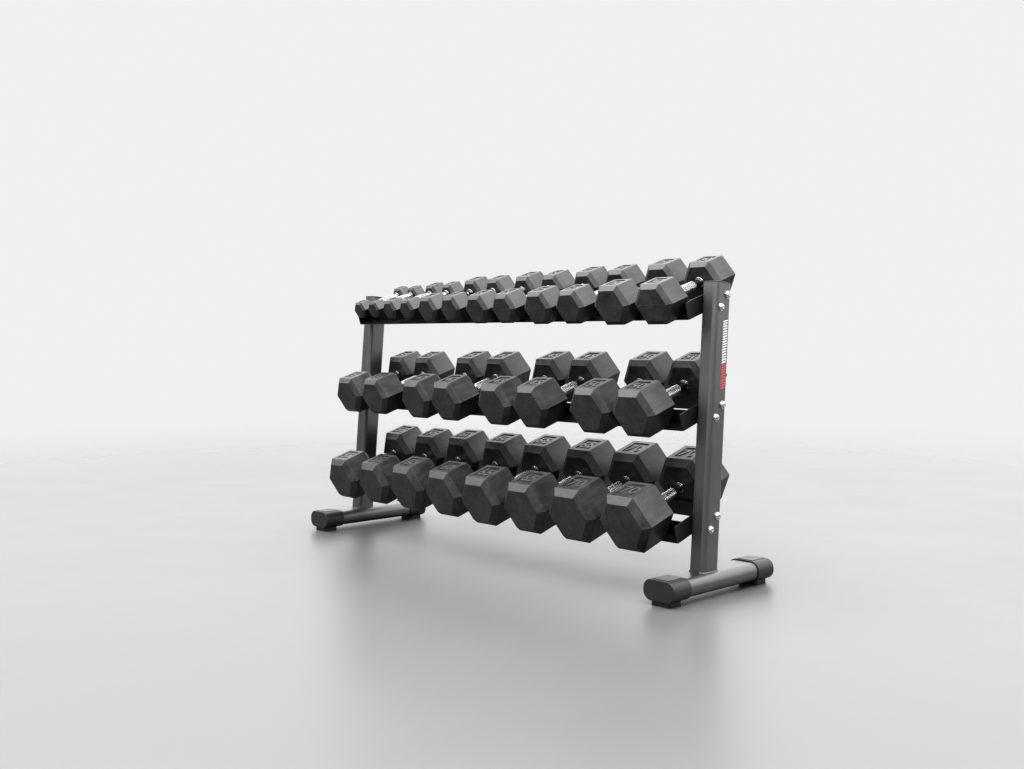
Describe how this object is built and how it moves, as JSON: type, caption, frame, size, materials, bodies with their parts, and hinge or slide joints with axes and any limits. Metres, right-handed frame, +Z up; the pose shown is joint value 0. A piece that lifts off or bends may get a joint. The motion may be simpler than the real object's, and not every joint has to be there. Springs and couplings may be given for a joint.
{
  "type": "dumbbell rack",
  "caption": "Free-standing rack: two leaning uprights on tube feet carry three sloping angle-rail shelves, loaded with hex dumbbells that lift off.",
  "frame": {"origin": "on the floor, in the middle of the loaded rack's length and depth", "axes": "+X along the shelves towards the right-hand upright as seen from the front, +Y to the back, +Z up"},
  "size_m": [1.561, 0.4491, 0.877],
  "materials": {
    "frame_paint": "satin graphite grey powder coat",
    "shelf_paint": "satin near-black powder coat",
    "cap_plastic": "moulded black plastic, faintly brushed",
    "pad_rubber": "black rubber",
    "bolt_chrome": "bright plated steel",
    "dumbbell_rubber": "iron core under matte black rubber",
    "handle_chrome": "chromed steel, knurled grip",
    "label_print": "plain printed film, no lettering"
  },
  "bodies": {
    "rack": {"bolt_washers": "bolt_chrome", "bracket_bottom_left": "shelf_paint", "bracket_bottom_right": "shelf_paint", "bracket_middle_left": "shelf_paint", "bracket_middle_right": "shelf_paint", "bracket_top_left": "shelf_paint", "bracket_top_right": "shelf_paint", "foot_cap_front_left": "cap_plastic", "foot_cap_front_right": "cap_plastic", "foot_cap_rear_left": "cap_plastic", "foot_cap_rear_right": "cap_plastic", "foot_pad_front_left": "pad_rubber", "foot_pad_front_right": "pad_rubber", "foot_pad_rear_left": "pad_rubber", "foot_pad_rear_right": "pad_rubber", "foot_pad_screws": "bolt_chrome", "foot_tube_left": "frame_paint", "foot_tube_right": "frame_paint", "nut_washers": "bolt_chrome", "rail_bottom_front": "shelf_paint", "rail_bottom_rear": "shelf_paint", "rail_middle_front": "shelf_paint", "rail_middle_rear": "shelf_paint", "rail_top_front": "shelf_paint", "rail_top_rear": "shelf_paint", "shelf_bolts": "bolt_chrome", "shelf_nuts": "bolt_chrome", "upright_left": "frame_paint", "upright_plug_left": "cap_plastic", "upright_plug_right": "cap_plastic", "upright_right": "frame_paint"},
    "dumbbell_05_a": {"dumbbell_05_a": "dumbbell_rubber"},
    "dumbbell_05_b": {"dumbbell_05_b": "dumbbell_rubber"},
    "dumbbell_10_a": {"dumbbell_10_a": "dumbbell_rubber"},
    "dumbbell_10_b": {"dumbbell_10_b": "dumbbell_rubber"},
    "dumbbell_15_a": {"dumbbell_15_a": "dumbbell_rubber"},
    "dumbbell_15_b": {"dumbbell_15_b": "dumbbell_rubber"},
    "dumbbell_20_a": {"dumbbell_20_a": "dumbbell_rubber"},
    "dumbbell_20_b": {"dumbbell_20_b": "dumbbell_rubber"},
    "dumbbell_25_a": {"dumbbell_25_a": "dumbbell_rubber"},
    "dumbbell_25_b": {"dumbbell_25_b": "dumbbell_rubber"},
    "dumbbell_30_a": {"dumbbell_30_a": "dumbbell_rubber"},
    "dumbbell_30_b": {"dumbbell_30_b": "dumbbell_rubber"},
    "dumbbell_35_a": {"dumbbell_35_a": "dumbbell_rubber"},
    "dumbbell_35_b": {"dumbbell_35_b": "dumbbell_rubber"},
    "dumbbell_40_a": {"dumbbell_40_a": "dumbbell_rubber"},
    "dumbbell_40_b": {"dumbbell_40_b": "dumbbell_rubber"},
    "dumbbell_45_a": {"dumbbell_45_a": "dumbbell_rubber"},
    "dumbbell_45_b": {"dumbbell_45_b": "dumbbell_rubber"},
    "dumbbell_50_a": {"dumbbell_50_a": "dumbbell_rubber"},
    "dumbbell_50_b": {"dumbbell_50_b": "dumbbell_rubber"},
    "dumbbell_55_a": {"dumbbell_55_a": "dumbbell_rubber"},
    "dumbbell_55_b": {"dumbbell_55_b": "dumbbell_rubber"},
    "dumbbell_60_a": {"dumbbell_60_a": "dumbbell_rubber"},
    "dumbbell_60_b": {"dumbbell_60_b": "dumbbell_rubber"},
    "dumbbell_65_a": {"dumbbell_65_a": "dumbbell_rubber"},
    "dumbbell_65_b": {"dumbbell_65_b": "dumbbell_rubber"},
    "dumbbell_70_a": {"dumbbell_70_a": "dumbbell_rubber"},
    "dumbbell_70_b": {"dumbbell_70_b": "dumbbell_rubber"}
  },
  "joints": [
    {"name": "lift_05_a", "type": "slide", "parent": "rack", "child": "dumbbell_05_a", "axis": [0, -0.3024, 0.9532], "range_m": [0, 0.06]},
    {"name": "lift_05_b", "type": "slide", "parent": "rack", "child": "dumbbell_05_b", "axis": [0, -0.3024, 0.9532], "range_m": [0, 0.06]},
    {"name": "lift_10_a", "type": "slide", "parent": "rack", "child": "dumbbell_10_a", "axis": [0, -0.3024, 0.9532], "range_m": [0, 0.06]},
    {"name": "lift_10_b", "type": "slide", "parent": "rack", "child": "dumbbell_10_b", "axis": [0, -0.3024, 0.9532], "range_m": [0, 0.06]},
    {"name": "lift_15_a", "type": "slide", "parent": "rack", "child": "dumbbell_15_a", "axis": [0, -0.3024, 0.9532], "range_m": [0, 0.06]},
    {"name": "lift_15_b", "type": "slide", "parent": "rack", "child": "dumbbell_15_b", "axis": [0, -0.3024, 0.9532], "range_m": [0, 0.06]},
    {"name": "lift_20_a", "type": "slide", "parent": "rack", "child": "dumbbell_20_a", "axis": [0, -0.3024, 0.9532], "range_m": [0, 0.06]},
    {"name": "lift_20_b", "type": "slide", "parent": "rack", "child": "dumbbell_20_b", "axis": [0, -0.3024, 0.9532], "range_m": [0, 0.06]},
    {"name": "lift_25_a", "type": "slide", "parent": "rack", "child": "dumbbell_25_a", "axis": [0, -0.3024, 0.9532], "range_m": [0, 0.06]},
    {"name": "lift_25_b", "type": "slide", "parent": "rack", "child": "dumbbell_25_b", "axis": [0, -0.3024, 0.9532], "range_m": [0, 0.06]},
    {"name": "lift_30_a", "type": "slide", "parent": "rack", "child": "dumbbell_30_a", "axis": [0, -0.3024, 0.9532], "range_m": [0, 0.06]},
    {"name": "lift_30_b", "type": "slide", "parent": "rack", "child": "dumbbell_30_b", "axis": [0, -0.3024, 0.9532], "range_m": [0, 0.06]},
    {"name": "lift_35_a", "type": "slide", "parent": "rack", "child": "dumbbell_35_a", "axis": [0, -0.3024, 0.9532], "range_m": [0, 0.06]},
    {"name": "lift_35_b", "type": "slide", "parent": "rack", "child": "dumbbell_35_b", "axis": [0, -0.3024, 0.9532], "range_m": [0, 0.06]},
    {"name": "lift_40_a", "type": "slide", "parent": "rack", "child": "dumbbell_40_a", "axis": [0, -0.3024, 0.9532], "range_m": [0, 0.06]},
    {"name": "lift_40_b", "type": "slide", "parent": "rack", "child": "dumbbell_40_b", "axis": [0, -0.3024, 0.9532], "range_m": [0, 0.06]},
    {"name": "lift_45_a", "type": "slide", "parent": "rack", "child": "dumbbell_45_a", "axis": [0, -0.3024, 0.9532], "range_m": [0, 0.06]},
    {"name": "lift_45_b", "type": "slide", "parent": "rack", "child": "dumbbell_45_b", "axis": [0, -0.3024, 0.9532], "range_m": [0, 0.06]},
    {"name": "lift_50_a", "type": "slide", "parent": "rack", "child": "dumbbell_50_a", "axis": [0, -0.3024, 0.9532], "range_m": [0, 0.06]},
    {"name": "lift_50_b", "type": "slide", "parent": "rack", "child": "dumbbell_50_b", "axis": [0, -0.3024, 0.9532], "range_m": [0, 0.06]},
    {"name": "lift_55_a", "type": "slide", "parent": "rack", "child": "dumbbell_55_a", "axis": [0, -0.3024, 0.9532], "range_m": [0, 0.06]},
    {"name": "lift_55_b", "type": "slide", "parent": "rack", "child": "dumbbell_55_b", "axis": [0, -0.3024, 0.9532], "range_m": [0, 0.06]},
    {"name": "lift_60_a", "type": "slide", "parent": "rack", "child": "dumbbell_60_a", "axis": [0, -0.3024, 0.9532], "range_m": [0, 0.06]},
    {"name": "lift_60_b", "type": "slide", "parent": "rack", "child": "dumbbell_60_b", "axis": [0, -0.3024, 0.9532], "range_m": [0, 0.06]},
    {"name": "lift_65_a", "type": "slide", "parent": "rack", "child": "dumbbell_65_a", "axis": [0, -0.3024, 0.9532], "range_m": [0, 0.06]},
    {"name": "lift_65_b", "type": "slide", "parent": "rack", "child": "dumbbell_65_b", "axis": [0, -0.3024, 0.9532], "range_m": [0, 0.06]},
    {"name": "lift_70_a", "type": "slide", "parent": "rack", "child": "dumbbell_70_a", "axis": [0, -0.3024, 0.9532], "range_m": [0, 0.06]},
    {"name": "lift_70_b", "type": "slide", "parent": "rack", "child": "dumbbell_70_b", "axis": [0, -0.3024, 0.9532], "range_m": [0, 0.06]}
  ]
}
